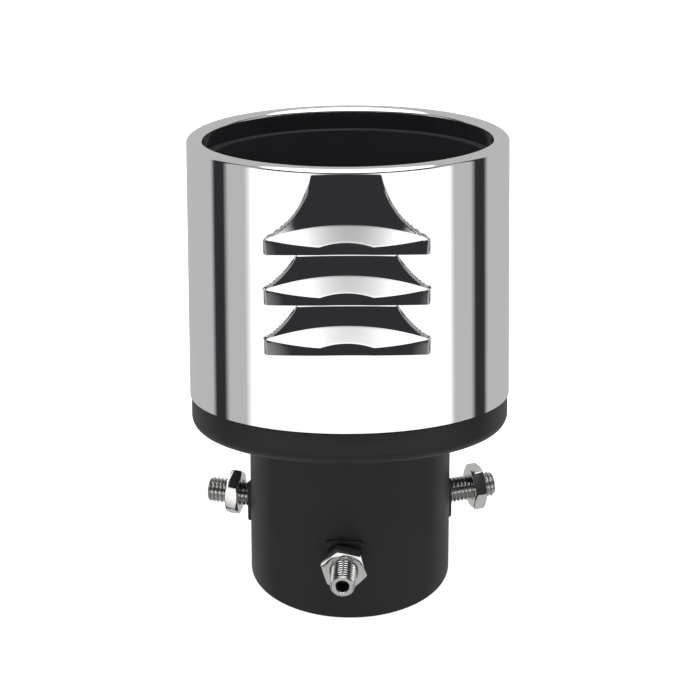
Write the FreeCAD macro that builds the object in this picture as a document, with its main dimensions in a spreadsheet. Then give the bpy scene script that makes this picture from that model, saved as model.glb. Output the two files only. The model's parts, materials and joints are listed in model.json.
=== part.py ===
import FreeCAD, Part
import os
import re

import Sketcher

# Bolt-on tailpipe tip.  A round plated sleeve with three louvres and a rolled mouth covers a
# black inner tube.  Both stand on a black rear cap, which is welded to a narrower clamp neck.
# Three set screws with lock nuts grip the vehicle's pipe through threaded pads on the neck.
# Origin: centre of the neck's open end.  +Z runs up the neck.  The sleeve leans towards +Y,
# about the X axis, so sleeve, inner tube and cap are drawn upright and then leant over.

DIMENSIONS = [
    # clamp neck
    ("neck_radius", 31.75),
    ("neck_wall", 1.5),
    ("neck_edge", 0.5),
    ("neck_blank", 80.0),
    ("neck_stub", 2.5),
    # lean of the sleeve, and where its axis leaves the neck's axis
    ("lean_angle", 15.0),
    ("lean_height", 40.0),
    # rear cap; heights of the leaning parts run from the point where the two axes meet
    ("cap_radius", 50.0),
    ("cap_wall", 1.5),
    ("cap_low", 11.6),
    ("cap_corner", 4.0),
    ("cap_shoulder", 22.1),
    ("cap_joggle", 0.4),
    ("cap_top", 31.0),
    # plated sleeve with its rolled mouth
    ("sleeve_radius", 50.5),
    ("sleeve_wall", 0.8),
    ("sleeve_low", 22.3),
    ("sleeve_crest", 104.8),
    ("roll_radius", 2.6),
    ("skirt_low", 96.0),
    # louvres pressed out of the sleeve; heights run from each louvre's lip, and the louvres
    # are turned clockwise from the front, seen from above
    ("louvre_low", 47.5),
    ("louvre_pitch", 15.65),
    ("louvre_turn", 2.0),
    ("lip_half_width", 25.4),
    ("lip_band", 5.2),
    ("shoulder_half_width", 17.4),
    ("shoulder_rise", 11.0),
    ("crown_half_width", 11.0),
    ("crown_rise", 21.0),
    ("lip_proud", 2.6),
    ("lip_tuck", 1.0),
    ("lip_droop", 1.8),
    ("root_depth", 12.0),
    ("crown_sink", 0.3),
    ("hood_wall", 0.8),
    ("hollow_rise", 12.0),
    ("hollow_slope", 2.0),
    # inner tube
    ("liner_radius", 45.2),
    ("liner_wall", 1.2),
    ("liner_top", 97.6),
    # threaded pads on the neck
    ("pad_width", 12.0),
    ("pad_height", 14.0),
    ("pad_face", 32.4),
    ("pad_corner", 1.6),
    # M8 set screws and thin lock nuts
    ("screw_height", 22.0),
    ("screw_radius", 4.0),
    ("screw_length", 16.0),
    ("screw_chamfer", 0.7),
    ("socket_flats", 4.0),
    ("socket_depth", 5.0),
    ("nut_flats", 13.0),
    ("nut_thickness", 4.0),
    ("nut_chamfer", 0.5),
    ("nut_chamfer_rise", 0.6),
    ("thread_gap", 0.05),
    # weld round the neck under the cap
    ("weld_leg", 2.0),
    ("weld_toe", 0.4),
    # each fastener: its turn from the front about the neck, how far out the screw's end and
    # the nut's middle stand, and the turn of the nut's corners
    ("front_turn", -4.3),
    ("front_reach", 47.5),
    ("front_seat", 36.6),
    ("front_corner", 16.3),
    ("right_turn", 105.6),
    ("right_reach", 48.0),
    ("right_seat", 42.3),
    ("right_corner", 22.0),
    ("left_turn", -105.0),
    ("left_reach", 46.4),
    ("left_seat", 37.9),
    ("left_corner", 10.0),
]
LOUVRES = 3
SIDES = ["front", "right", "left"]
LEAST_CUT = 0.001
X_AXIS = FreeCAD.Vector(1, 0, 0)
Y_AXIS = FreeCAD.Vector(0, 1, 0)
Z_AXIS = FreeCAD.Vector(0, 0, 1)

doc = FreeCAD.newDocument("tailpipe_tip")
sheet = doc.addObject("Spreadsheet::Sheet", "dims")
for row, (alias, value) in enumerate(DIMENSIONS, start=1):
    sheet.set(f"A{row}", alias)
    sheet.set(f"B{row}", str(value))
    sheet.setAlias(f"B{row}", alias)
doc.recompute()

node_objects = []


def linked(expression):
    """Write the sheet's name before each alias.  Every alias has an underscore."""
    return re.sub(r"\b([a-z]+(?:_[a-z]+)+)\b", r"dims.\1", expression)


def number(expression):
    return float(sheet.evalExpression(linked(expression)))


def bind(thing, property_name, expression):
    thing.setExpression(property_name, linked(expression))


# ---------------------------------------------------------------- sketches

def hold_point(sketch, geometry, end, place):
    """Hold one end, or the centre, of a sketch edge at a place given by expressions."""
    for axis, kind, expression in ((-2, "DistanceX", place[0]), (-1, "DistanceY", place[1])):
        if expression is None:
            continue
        if expression == "0":
            sketch.addConstraint(Sketcher.Constraint("PointOnObject", geometry, end, axis))
            continue
        index = sketch.addConstraint(
            Sketcher.Constraint(kind, -1, 1, geometry, end, number(expression)))
        bind(sketch, f"Constraints[{index}]", expression)


def point_of(place):
    return FreeCAD.Vector(number(place[0]), number(place[1]), 0)


def draw_outline(sketch, points, arcs=None):
    """Draw a closed outline through points.  arcs: edge index to the arc's centre."""
    arcs = arcs or {}
    corners = [point_of(p) for p in points]
    count = len(corners)
    first = sketch.GeometryCount
    ends = []
    for i, start in enumerate(corners):
        end = corners[(i + 1) % count]
        if i not in arcs:
            sketch.addGeometry(Part.LineSegment(start, end), False)
            ends.append((1, 2))
            continue
        centre = point_of(arcs[i])
        bulge = (start + end) * 0.5 - centre
        if bulge.Length < 1e-6:
            bulge = FreeCAD.Vector(0, 1, 0)
        bulge.normalize()
        crown = centre + bulge * (start - centre).Length
        # a sketch's arc always runs anticlockwise
        anticlockwise = (start - centre).cross(crown - centre).z > 0
        from_point, to_point = (start, end) if anticlockwise else (end, start)
        sketch.addGeometry(Part.Arc(from_point, crown, to_point), False)
        ends.append((1, 2) if anticlockwise else (2, 1))
    for i in range(count):
        after = (i + 1) % count
        sketch.addConstraint(Sketcher.Constraint(
            "Coincident", first + i, ends[i][1], first + after, ends[after][0]))
    for i, place in enumerate(points):
        hold_point(sketch, first + i, ends[i][0], place)
    for i, centre in arcs.items():
        hold_point(sketch, first + i, 3, (None, centre[1]))


def draw_circle(sketch, place, radius):
    circle = Part.Circle(point_of(place), Z_AXIS, number(radius))
    index = sketch.addGeometry(circle, False)
    hold_point(sketch, index, 3, place)
    held = sketch.addConstraint(Sketcher.Constraint("Radius", index, number(radius)))
    bind(sketch, f"Constraints[{held}]", radius)


def hexagon(flats):
    """Six corners of a hexagon with two corners on the sketch's Y axis."""
    half, near, far = f"{flats} / 2", f"{flats} / sqrt(12)", f"{flats} / sqrt(3)"
    return [("0", far), (f"-{half}", near), (f"-{half}", f"-{near}"),
            ("0", f"-{far}"), (half, f"-{near}"), (half, near)]


# ---------------------------------------------------------------- bodies and features

def new_body(name):
    body = doc.addObject("PartDesign::Body", name)
    body.Label = name
    node_objects.append(body)
    return body


def body_sketch(body, name, plane, axis=Z_AXIS, turn=None, lift=None):
    """Add a sketch on one of the body's own planes, turned about axis and lifted off it."""
    sketch = body.newObject("Sketcher::SketchObject", name)
    planes = {p.Role: p for p in body.Origin.OriginFeatures}
    sketch.AttachmentSupport = (planes[plane], "")
    sketch.MapMode = "FlatFace"
    sketch.AttachmentOffset = FreeCAD.Placement(
        FreeCAD.Vector(0, 0, number(lift) if lift else 0),
        FreeCAD.Rotation(axis, number(turn) if turn else 0))
    if turn:
        bind(sketch, "AttachmentOffset.Rotation.Angle", f"({turn}) * 1deg")
    if lift:
        bind(sketch, "AttachmentOffset.Base.z", lift)
    return sketch


def add_feature(body, kind, name, sketch, **properties):
    feature = body.newObject(f"PartDesign::{kind}", name)
    feature.Profile = sketch
    for key, value in properties.items():
        if isinstance(value, str) and key in ("Length", "Angle"):
            setattr(feature, key, number(value))
            bind(feature, key, value)
        else:
            setattr(feature, key, value)
    body.Tip = feature
    doc.recompute()
    return feature


def revolve(body, sketch, kind="Revolution"):
    return add_feature(body, kind, f"{sketch.Name}_{kind.lower()}", sketch,
                       ReferenceAxis=(sketch, ["V_Axis"]), Angle=360.0)


def cut_away(body, sketch, length, reverse=False, both=False):
    """Cut a pocket and make sure that it takes something off."""
    before = body.Shape.Volume
    pocket = add_feature(body, "Pocket", f"{sketch.Name}_pocket", sketch,
                         Length=length, Reversed=reverse, Midplane=both)
    if body.Shape.Volume > before - LEAST_CUT:
        raise RuntimeError(f"{pocket.Name} cuts nothing")
    return pocket


def lean_over(thing):
    """Lean a part drawn upright over towards +Y about the point where the axes meet."""
    thing.Placement = FreeCAD.Placement(
        FreeCAD.Vector(0, 0, number("lean_height")),
        FreeCAD.Rotation(FreeCAD.Vector(-1, 0, 0), number("lean_angle")))
    bind(thing, "Placement.Base.z", "lean_height")
    bind(thing, "Placement.Rotation.Angle", "lean_angle * 1deg")


def aim_outwards(thing, side, reach=None, spin=None):
    """Turn a part drawn along +Z so that it points away from the neck at a side's turn.

    Its own +Y then points up the neck.  reach moves it out and spin turns it about itself.
    """
    turn = number(f"{side}_turn")
    azimuth = FreeCAD.Rotation(Z_AXIS, turn - 90.0)
    lay_down = FreeCAD.Rotation(FreeCAD.Vector(0, 1, 0), FreeCAD.Vector(0, 0, 1),
                                FreeCAD.Vector(1, 0, 0), "XYZ")
    rotation = azimuth * lay_down * FreeCAD.Rotation(Z_AXIS, number(spin) if spin else 0.0)
    outward = azimuth.multVec(X_AXIS) * (number(reach) if reach else 0.0)
    thing.Placement = FreeCAD.Placement(
        outward + Z_AXIS * number("screw_height"), rotation)
    bind(thing, "Placement.Base.z", "screw_height")
    if reach:
        bind(thing, "Placement.Base.x", f"({reach}) * sin({side}_turn * 1deg)")
        bind(thing, "Placement.Base.y", f"-({reach}) * cos({side}_turn * 1deg)")


# ---------------------------------------------------------------- clamp neck

def build_inlet_neck():
    """Tube with a square-cut open end, cut at the top parallel to the leaning cap's floor."""
    body = new_body("inlet_neck")
    wall = body_sketch(body, "neck_section", "XZ_Plane")
    inner = "neck_radius - neck_wall"
    draw_outline(wall, [
        (inner, "0"),
        ("neck_radius - neck_edge", "0"),
        ("neck_radius", "neck_edge"),
        ("neck_radius", "neck_blank"),
        (inner, "neck_blank"),
    ], {1: ("neck_radius - neck_edge", "neck_edge")})
    revolve(body, wall)
    waste = body_sketch(body, "neck_top_cut", "YZ_Plane")
    rise = "lean_height + (cap_low + cap_wall + neck_stub) / cos(lean_angle * 1deg)"
    fall = "neck_blank * tan(lean_angle * 1deg)"
    draw_outline(waste, [
        ("-neck_blank", f"{rise} + {fall}"),
        ("neck_blank", f"{rise} - {fall}"),
        ("neck_blank", "neck_blank * 3"),
        ("-neck_blank", "neck_blank * 3"),
    ])
    cut_away(body, waste, "neck_blank * 2", both=True)
    for side in SIDES:
        hole = body_sketch(body, f"neck_hole_{side}", "XZ_Plane", Y_AXIS, f"{side}_turn")
        draw_circle(hole, ("0", "screw_height"), "screw_radius + thread_gap")
        cut_away(body, hole, "neck_blank", reverse=True)


def build_pad(side):
    """Plate that backs the neck's wall where a set screw is threaded through it."""
    body = new_body(f"screw_pad_{side}")
    plate = body_sketch(body, f"pad_outline_{side}", "XY_Plane")
    wide, tall, corner = "pad_width / 2", "pad_height / 2", "pad_corner"
    draw_outline(plate, [
        (f"{wide} - {corner}", f"-{tall}"), (wide, f"-{tall} + {corner}"),
        (wide, f"{tall} - {corner}"), (f"{wide} - {corner}", tall),
        (f"-{wide} + {corner}", tall), (f"-{wide}", f"{tall} - {corner}"),
        (f"-{wide}", f"-{tall} + {corner}"), (f"-{wide} + {corner}", f"-{tall}"),
    ], {
        0: (f"{wide} - {corner}", f"-{tall} + {corner}"),
        2: (f"{wide} - {corner}", f"{tall} - {corner}"),
        4: (f"-{wide} + {corner}", f"{tall} - {corner}"),
        6: (f"-{wide} + {corner}", f"-{tall} + {corner}"),
    })
    add_feature(body, "Pad", f"pad_plate_{side}", plate, Length="pad_face")
    saddle = body_sketch(body, f"pad_saddle_{side}", "XZ_Plane")
    draw_circle(saddle, ("0", "0"), "neck_radius")
    cut_away(body, saddle, "pad_height * 2", both=True)
    hole = body_sketch(body, f"pad_hole_{side}", "XY_Plane")
    draw_circle(hole, ("0", "0"), "screw_radius + thread_gap")
    cut_away(body, hole, "pad_face * 2", reverse=True)
    aim_outwards(body, side)


# ---------------------------------------------------------------- rear cap and weld

def build_rear_cap():
    """Dished cap: floor, rounded corner, band, and a joggle that carries the sleeve."""
    body = new_body("rear_cap")
    section = body_sketch(body, "cap_section", "XZ_Plane")
    outer, inner = "cap_radius", "cap_radius - cap_wall"
    step, inner_step = f"{outer} - cap_joggle", f"{inner} - cap_joggle"
    middle = "cap_low + cap_corner"
    draw_outline(section, [
        ("neck_radius / 2", "cap_low"),
        (f"{outer} - cap_corner", "cap_low"),
        (outer, middle),
        (outer, "cap_shoulder"),
        (step, "cap_shoulder"),
        (step, "cap_top"),
        (inner_step, "cap_top"),
        (inner_step, "cap_shoulder - cap_wall"),
        (inner, "cap_shoulder - cap_wall"),
        (inner, middle),
        (f"{outer} - cap_corner", "cap_low + cap_wall"),
        ("neck_radius / 2", "cap_low + cap_wall"),
    ], {1: (f"{outer} - cap_corner", middle), 9: (f"{outer} - cap_corner", middle)})
    revolve(body, section)
    hole = body_sketch(body, "cap_neck_hole", "XY_Plane", X_AXIS, "lean_angle")
    draw_circle(hole, ("0", "0"), "neck_radius")
    cut_away(body, hole, "neck_blank", reverse=True)
    lean_over(body)


def build_neck_weld():
    """Fillet of weld between the neck's round wall and the underside of the leaning floor."""
    body = new_body("neck_weld")
    ring = body_sketch(body, "weld_section", "XZ_Plane")
    outer = "neck_radius + weld_leg"
    draw_outline(ring, [("neck_radius", "0"), (outer, "0"),
                        (outer, "neck_blank"), ("neck_radius", "neck_blank")])
    revolve(body, ring)
    fall = "neck_blank * tan(lean_angle * 1deg)"
    under_floor = "lean_height + cap_low / cos(lean_angle * 1deg)"
    toe = "lean_height + (cap_low - weld_leg) / cos(lean_angle * 1deg)"
    for name, rise, far in (("weld_top_cut", under_floor, "neck_blank * 3"),
                            ("weld_low_cut", toe, "-neck_blank")):
        waste = body_sketch(body, name, "YZ_Plane")
        draw_outline(waste, [
            ("-neck_blank", f"{rise} + {fall}"),
            ("neck_blank", f"{rise} - {fall}"),
            ("neck_blank", far),
            ("-neck_blank", far),
        ])
        cut_away(body, waste, "neck_blank * 2", both=True)
    ring_end = body.Tip
    low_edges = [(edge.Length, f"Edge{i}") for i, edge in enumerate(body.Shape.Edges, start=1)
                 if abs(edge.CenterOfMass.z - number(toe)) < 0.2]
    slope = body.newObject("PartDesign::Chamfer", "weld_slope")
    slope.Base = (ring_end, [max(low_edges)[1]])
    slope.Size = number("weld_leg - weld_toe")
    bind(slope, "Size", "weld_leg - weld_toe")
    body.Tip = slope


# ---------------------------------------------------------------- inner tube

def build_inner_liner():
    """Plain tube that stands on the cap's floor and ends inside the sleeve's rolled mouth."""
    body = new_body("inner_liner")
    ring = body_sketch(body, "liner_section", "XY_Plane", lift="cap_low + cap_wall")
    draw_circle(ring, ("0", "0"), "liner_radius")
    draw_circle(ring, ("0", "0"), "liner_radius - liner_wall")
    add_feature(body, "Pad", "liner_tube", ring, Length="liner_top - cap_low - cap_wall")
    lean_over(body)


# ---------------------------------------------------------------- plated sleeve

def free_sketch(name, rotation):
    sketch = doc.addObject("Sketcher::SketchObject", name)
    sketch.Placement = FreeCAD.Placement(FreeCAD.Vector(0, 0, 0), rotation)
    return sketch


FACING_FRONT = FreeCAD.Rotation(X_AXIS, 90.0)


def extrude(name, sketch, direction, length):
    prism = doc.addObject("Part::Extrusion", name)
    prism.Base = sketch
    prism.DirMode = "Custom"
    prism.Dir = direction
    prism.Solid = True
    prism.LengthFwd = number(length)
    bind(prism, "LengthFwd", length)
    return prism


def turn_round(name, sketch):
    ring = doc.addObject("Part::Revolution", name)
    ring.Source = sketch
    ring.Axis = Z_AXIS
    ring.Angle = 360.0
    ring.Solid = True
    return ring


def join(kind, name, shapes):
    joined = doc.addObject(f"Part::{kind}", name)
    if kind == "Cut":
        joined.Base, joined.Tool = shapes
    else:
        joined.Shapes = shapes
    return joined


def louvre_hood(name, low, inset, shoulder, crown):
    """Solid wedge of one louvre, which follows the sleeve's round wall.

    Its side outline is turned about the sleeve's axis, and its front outline cuts that ring.
    The lip is an arc whose ends hang lower than its middle.  inset moves every wall inwards,
    for the hollow inside the hood.
    """
    front = free_sketch(f"{name}_front", FACING_FRONT)
    lip, band = f"lip_half_width - {inset}", f"{low} + lip_band - {inset}"
    wide = f"shoulder_half_width - {inset}"
    narrow = f"crown_half_width - {inset}"
    end = f"{low} - lip_droop - {inset}"
    bend = f"(({lip}) ^ 2 + lip_droop ^ 2) / (2 * lip_droop)"
    draw_outline(front, [
        (f"-({lip})", end), (lip, end), (lip, f"{band} - lip_droop"),
        (wide, f"{low} + {shoulder}"), (narrow, f"{low} + {crown}"),
        (f"-({narrow})", f"{low} + {crown}"), (f"-({wide})", f"{low} + {shoulder}"),
        (f"-({lip})", f"{band} - lip_droop"),
    ], {0: ("0", f"{end} + lip_droop - {bend}")})
    side = free_sketch(f"{name}_side", FACING_FRONT)
    face, floor = f"sleeve_radius + lip_proud - {inset}", "sleeve_radius - root_depth"
    draw_outline(side, [
        (floor, f"{low} - lip_droop * 2"), (f"{face} - lip_tuck", f"{low} - lip_droop * 2"),
        (f"{face} - lip_tuck", low), (face, f"{low} + lip_band - {inset}"),
        (f"sleeve_radius - {inset} - crown_sink", f"{low} + {crown}"),
        (floor, f"{low} + {crown}"),
    ])
    prism = extrude(f"{name}_front_prism", front, -Y_AXIS, "sleeve_radius * 2")
    prism.Placement.Rotation = FreeCAD.Rotation(-Z_AXIS, number("louvre_turn"))
    bind(prism, "Placement.Rotation.Angle", "louvre_turn * 1deg")
    return join("MultiCommon", name, [prism, turn_round(f"{name}_ring", side)])


def build_outer_sleeve():
    """Tube with an inward-rolled mouth, and louvres that open towards the cap."""
    section = free_sketch("sleeve_section", FACING_FRONT)
    outer, inner = "sleeve_radius", "sleeve_radius - sleeve_wall"
    skirt = "sleeve_radius - 2 * roll_radius"
    roll_height, roll_centre = "sleeve_crest - roll_radius", "sleeve_radius - roll_radius"
    draw_outline(section, [
        (outer, "sleeve_low"), (outer, roll_height), (skirt, roll_height),
        (skirt, "skirt_low"), (f"{skirt} + sleeve_wall", "skirt_low"),
        (f"{skirt} + sleeve_wall", roll_height), (inner, roll_height), (inner, "sleeve_low"),
    ], {1: (roll_centre, roll_height), 5: (roll_centre, roll_height)})
    tube = turn_round("sleeve_tube", section)
    hoods, hollows = [], []
    for i in range(LOUVRES):
        low = f"louvre_low + {i} * louvre_pitch"
        hoods.append(louvre_hood(f"louvre_{i + 1}", low, "0", "shoulder_rise", "crown_rise"))
        hollows.append(louvre_hood(f"louvre_hollow_{i + 1}", low, "hood_wall",
                                   "hollow_rise - hollow_slope", "hollow_rise"))
    core = doc.addObject("Part::Cylinder", "sleeve_core")
    for key, expression in (("Radius", inner), ("Height", "sleeve_crest - roll_radius")):
        setattr(core, key, number(expression))
        bind(core, key, expression)
    hoods_only = join("Cut", "hoods_outside_tube", (join("MultiFuse", "hoods", hoods), core))
    walls = join("MultiFuse", "sleeve_with_hoods", [tube, hoods_only])
    sleeve = join("Cut", "outer_sleeve", (walls, join("MultiFuse", "hollows", hollows)))
    sleeve.Label = "outer_sleeve"
    node_objects.append(sleeve)
    lean_over(sleeve)


# ---------------------------------------------------------------- set screws and lock nuts

def build_set_screw(side):
    """M8 socket set screw at its thread's outer diameter, with the socket at its outer end."""
    body = new_body(f"set_screw_{side}")
    shank = body_sketch(body, f"screw_section_{side}", "XZ_Plane")
    end, cut = "screw_length", "screw_chamfer"
    draw_outline(shank, [
        ("0", "0"), (f"screw_radius - {cut}", "0"), ("screw_radius", cut),
        ("screw_radius", f"{end} - {cut}"), (f"screw_radius - {cut}", end), ("0", end),
    ])
    revolve(body, shank)
    socket = body_sketch(body, f"screw_socket_{side}", "XY_Plane", lift="screw_length")
    draw_outline(socket, hexagon("socket_flats"))
    cut_away(body, socket, "socket_depth")
    aim_outwards(body, side, reach=f"{side}_reach - screw_length")


def build_lock_nut(side):
    """Thin hexagon nut with both faces chamfered, drawn about its own middle."""
    body = new_body(f"lock_nut_{side}")
    blank = body_sketch(body, f"nut_outline_{side}", "XY_Plane", lift="-nut_thickness / 2")
    draw_outline(blank, hexagon("nut_flats"))
    add_feature(body, "Pad", f"nut_blank_{side}", blank, Length="nut_thickness")
    half, wide = "nut_thickness / 2", "nut_flats / sqrt(3) + nut_chamfer"
    for end, sign in (("outer", ""), ("inner", "-")):
        corner = body_sketch(body, f"nut_chamfer_{end}_{side}", "XZ_Plane")
        draw_outline(corner, [
            ("nut_flats / 2", f"{sign}({half})"),
            (wide, f"{sign}({half})"),
            (wide, f"{sign}({half} - nut_chamfer_rise)"),
        ])
        revolve(body, corner, kind="Groove")
    bore = body_sketch(body, f"nut_bore_{side}", "XY_Plane", lift="-nut_thickness")
    draw_circle(bore, ("0", "0"), "screw_radius + thread_gap")
    cut_away(body, bore, "nut_thickness * 2", reverse=True)
    aim_outwards(body, side, reach=f"{side}_seat", spin=f"{side}_corner")


# ---------------------------------------------------------------- build, check and write

def check_everything():
    for thing in doc.Objects:
        if "Invalid" in thing.State or "Error" in thing.State:
            raise RuntimeError(f"{thing.Name} failed: {thing.State}")
    for node in node_objects:
        shape = node.Shape
        if shape.isNull() or not shape.isValid() or len(shape.Solids) != 1:
            raise RuntimeError(f"{node.Label} isn't one valid solid")


def write_parts():
    os.makedirs("parts", exist_ok=True)
    for node in node_objects:
        node.Shape.exportStep(f"parts/{node.Label}.step")
        box = node.Shape.BoundBox
        print(f"{node.Label:18s} volume {node.Shape.Volume:10.1f} mm3   "
              f"x {box.XMin:7.2f} {box.XMax:7.2f}   y {box.YMin:7.2f} {box.YMax:7.2f}   "
              f"z {box.ZMin:7.2f} {box.ZMax:7.2f}")


build_inlet_neck()
build_rear_cap()
build_neck_weld()
build_inner_liner()
build_outer_sleeve()
for screw_side in SIDES:
    build_pad(screw_side)
    build_set_screw(screw_side)
    build_lock_nut(screw_side)
doc.recompute()
check_everything()
write_parts()
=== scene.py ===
import json
import math
from contextlib import contextmanager

import bmesh
import bpy
import numpy as np
from mathutils import Matrix, Vector


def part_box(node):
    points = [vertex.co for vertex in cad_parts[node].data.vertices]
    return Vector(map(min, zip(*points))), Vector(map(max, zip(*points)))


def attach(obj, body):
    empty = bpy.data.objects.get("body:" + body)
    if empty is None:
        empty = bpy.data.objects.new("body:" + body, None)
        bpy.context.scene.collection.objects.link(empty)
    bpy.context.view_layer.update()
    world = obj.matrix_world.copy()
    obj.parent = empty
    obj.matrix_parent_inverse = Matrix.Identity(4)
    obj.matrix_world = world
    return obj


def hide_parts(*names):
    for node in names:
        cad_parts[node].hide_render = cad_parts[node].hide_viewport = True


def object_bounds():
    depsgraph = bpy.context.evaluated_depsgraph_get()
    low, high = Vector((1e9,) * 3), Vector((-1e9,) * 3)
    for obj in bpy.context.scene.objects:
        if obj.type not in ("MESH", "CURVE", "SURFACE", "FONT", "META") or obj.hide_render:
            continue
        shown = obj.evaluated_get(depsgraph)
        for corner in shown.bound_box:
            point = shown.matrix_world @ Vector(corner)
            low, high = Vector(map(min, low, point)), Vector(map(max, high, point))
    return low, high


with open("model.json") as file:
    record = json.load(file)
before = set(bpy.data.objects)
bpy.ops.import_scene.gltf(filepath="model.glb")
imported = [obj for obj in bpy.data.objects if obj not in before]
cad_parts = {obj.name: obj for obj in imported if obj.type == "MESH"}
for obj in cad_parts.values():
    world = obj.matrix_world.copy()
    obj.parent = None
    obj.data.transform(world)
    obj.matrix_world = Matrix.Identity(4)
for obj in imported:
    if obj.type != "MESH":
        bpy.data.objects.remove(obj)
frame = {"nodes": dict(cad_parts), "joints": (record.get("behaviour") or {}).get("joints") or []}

bl_info = {
    "name": "Tailpipe Tip",
    "version": (1, 0, 0),
    "blender": (4, 5, 0),
    "location": "View3D > Sidebar > Tailpipe Tip",
    "description": "Louvred tailpipe tip with a clamp neck, set screws and lock nuts",
    "category": "Object",
}

CAD_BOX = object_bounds()
MM = 0.001
SIDES = ("front", "right", "left")
MERGE_GAP = 0.002 * MM


# ------------ sizes and colours

def number(name, description, value, **kind):
    return bpy.props.FloatProperty(name=name, description=description, default=value, **kind)


def length(name, description, millimetres):
    return number(name, description, millimetres * MM, subtype="DISTANCE", unit="LENGTH")


def angle(name, description, degrees):
    return number(name, description, math.radians(degrees), subtype="ANGLE", unit="ROTATION")


def colour(name, description, red, green, blue):
    return bpy.props.FloatVectorProperty(name=name, description=description, size=3, min=0, max=1,
                                         default=(red, green, blue), subtype="COLOR")


class TipSizes(bpy.types.PropertyGroup):
    """Sizes of the formed sheet parts."""
    lean: angle("Lean", "Angle between the neck's axis and the sleeve's axis", 15)
    lean_height: length("Lean height", "Height at which the two axes meet", 40)
    sleeve_radius: length("Sleeve radius", "Outer radius of the plated sleeve", 50.5)
    sleeve_wall: length("Sleeve wall", "Sheet thickness of the sleeve", 0.8)
    sleeve_low: length("Sleeve low", "Lower edge of the sleeve along its axis", 22.3)
    sleeve_crest: length("Sleeve crest", "Top of the rolled mouth along the sleeve's axis", 104.8)
    roll: length("Roll half width", "Half the width of the roll at the mouth", 2.6)
    roll_corner: length("Roll corner", "Radius at the roll's outer and inner corners", 1.0)
    skirt_low: length("Skirt low", "Lower end of the skirt inside the mouth", 96)
    cap_radius: length("Cap radius", "Outer radius of the rear cap", 50)
    cap_wall: length("Cap wall", "Sheet thickness of the cap", 1.5)
    cap_low: length("Cap low", "Underside of the cap's floor along the sleeve's axis", 11.6)
    cap_corner: length("Cap corner", "Radius of the cap's lower corner", 4)
    cap_shoulder: length("Cap shoulder", "Height of the step that the sleeve stands over", 22.1)
    cap_joggle: length("Cap joggle", "Depth of that step", 0.4)
    cap_top: length("Cap top", "Top of the joggle inside the sleeve", 31)
    liner_radius: length("Liner radius", "Outer radius of the inner tube", 45.2)
    liner_wall: length("Liner wall", "Wall of the inner tube", 1.2)
    liner_top: length("Liner top", "Upper end of the inner tube along its axis", 97.6)
    neck_radius: length("Neck radius", "Outer radius of the clamp neck", 31.75)
    neck_wall: length("Neck wall", "Wall of the clamp neck", 1.5)
    neck_stub: length("Neck stub", "How far the neck stands up through the cap's floor", 2.5)
    weld_leg: length("Weld leg", "Leg of the weld under the cap", 2.0)


class LouvreSizes(bpy.types.PropertyGroup):
    """Shape of the three pressed louvres.  Heights are measured up from a louvre's lip."""
    count: bpy.props.IntProperty(name="Louvres", description="Number of louvres", default=3, min=1)
    low: length("Lowest lip", "Height of the lowest lip along the sleeve's axis", 47.5)
    pitch: length("Pitch", "Distance from one lip to the next", 15.65)
    turn: angle("Turn", "How far the louvres stand round to the left of the front", 2)
    half_width: length("Half width", "Half the width of a lip", 25.4)
    droop: length("Droop", "How far a lip's ends hang below its middle", 1.8)
    proud: length("Proud", "How far the crease stands out from the sleeve", 2.25)
    band: length("Band", "Height of the band over the lip, away from its middle", 2.2)
    dome: length("Dome", "Height of the dome that the band rises to over the lip's middle", 3.9)
    dome_half: length("Dome half width", "Half the width of that dome", 13)
    brow: length("Brow", "Height of the arched crease over the middle of the lip", 9.3)
    corner: length("Corner", "Height at which band and crease meet near the ends", 5.1)
    crown_half: length("Crown half width", "Half width that the outline narrows towards", 9.5)
    flare: length("Flare", "Height over which a lower louvre widens to its lip", 10.8)
    top_flare: length("Top flare", "The same height on the top louvre", 8.2)
    fillet: length("Fillet", "Width of the rounding from louvre to sleeve", 0.65)
    end_round: length("End rounding", "Width of the rounding at the ends of the band", 1.7)
    tuck: length("Tuck", "How far the sheet stands out just under a louvre above", 0.3)
    rest: length("Rest", "Height of the plain strip under a louvre above", 0.9)
    lens_tilt: angle("Lens tilt", "Outward tilt of the face between crease and band", 4.2)
    band_tilt: angle("Band tilt", "Inward tilt of the band", 10)


class FastenerSizes(bpy.types.PropertyGroup):
    """Sizes of the set screws and lock nuts."""
    axis_height: length("Axis height", "Height of the screws' axes above the neck's end", 22)
    screw_radius: length("Screw radius", "Outer radius of the thread", 4)
    screw_length: length("Screw length", "Length of a set screw", 16)
    thread_pitch: length("Thread pitch", "Advance of the thread in one turn", 1.25)
    thread_depth: length("Thread depth", "Depth of the thread", 0.62)
    screw_chamfer: length("Screw chamfer", "Chamfer at both ends of a screw", 0.7)
    socket_flats: length("Socket flats", "Width of the hexagon socket across its flats", 4)
    socket_depth: length("Socket depth", "Depth of the hexagon socket", 5)
    nut_flats: length("Nut flats", "Width of a nut across its flats", 13)
    nut_thickness: length("Nut thickness", "Thickness of a nut", 4)
    thread_gap: length("Thread gap", "Clearance between screw and nut, on the radius", 0.05)


class FinishColours(bpy.types.PropertyGroup):
    """Colours of the four finishes."""
    plate: colour("Bright plate", "Mirror-bright plating on the sleeve", 0.93, 0.925, 0.93)
    paint: colour("Black paint", "Satin black paint on neck, cap and pads", 0.0075, 0.0073, 0.0090)
    soot: colour("Liner black", "Matt black heat paint in the inner tube", 0.017, 0.016, 0.0205)
    zinc: colour("Zinc steel", "Bright zinc-plated steel of screws and nuts", 0.88, 0.865, 0.84)


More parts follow.
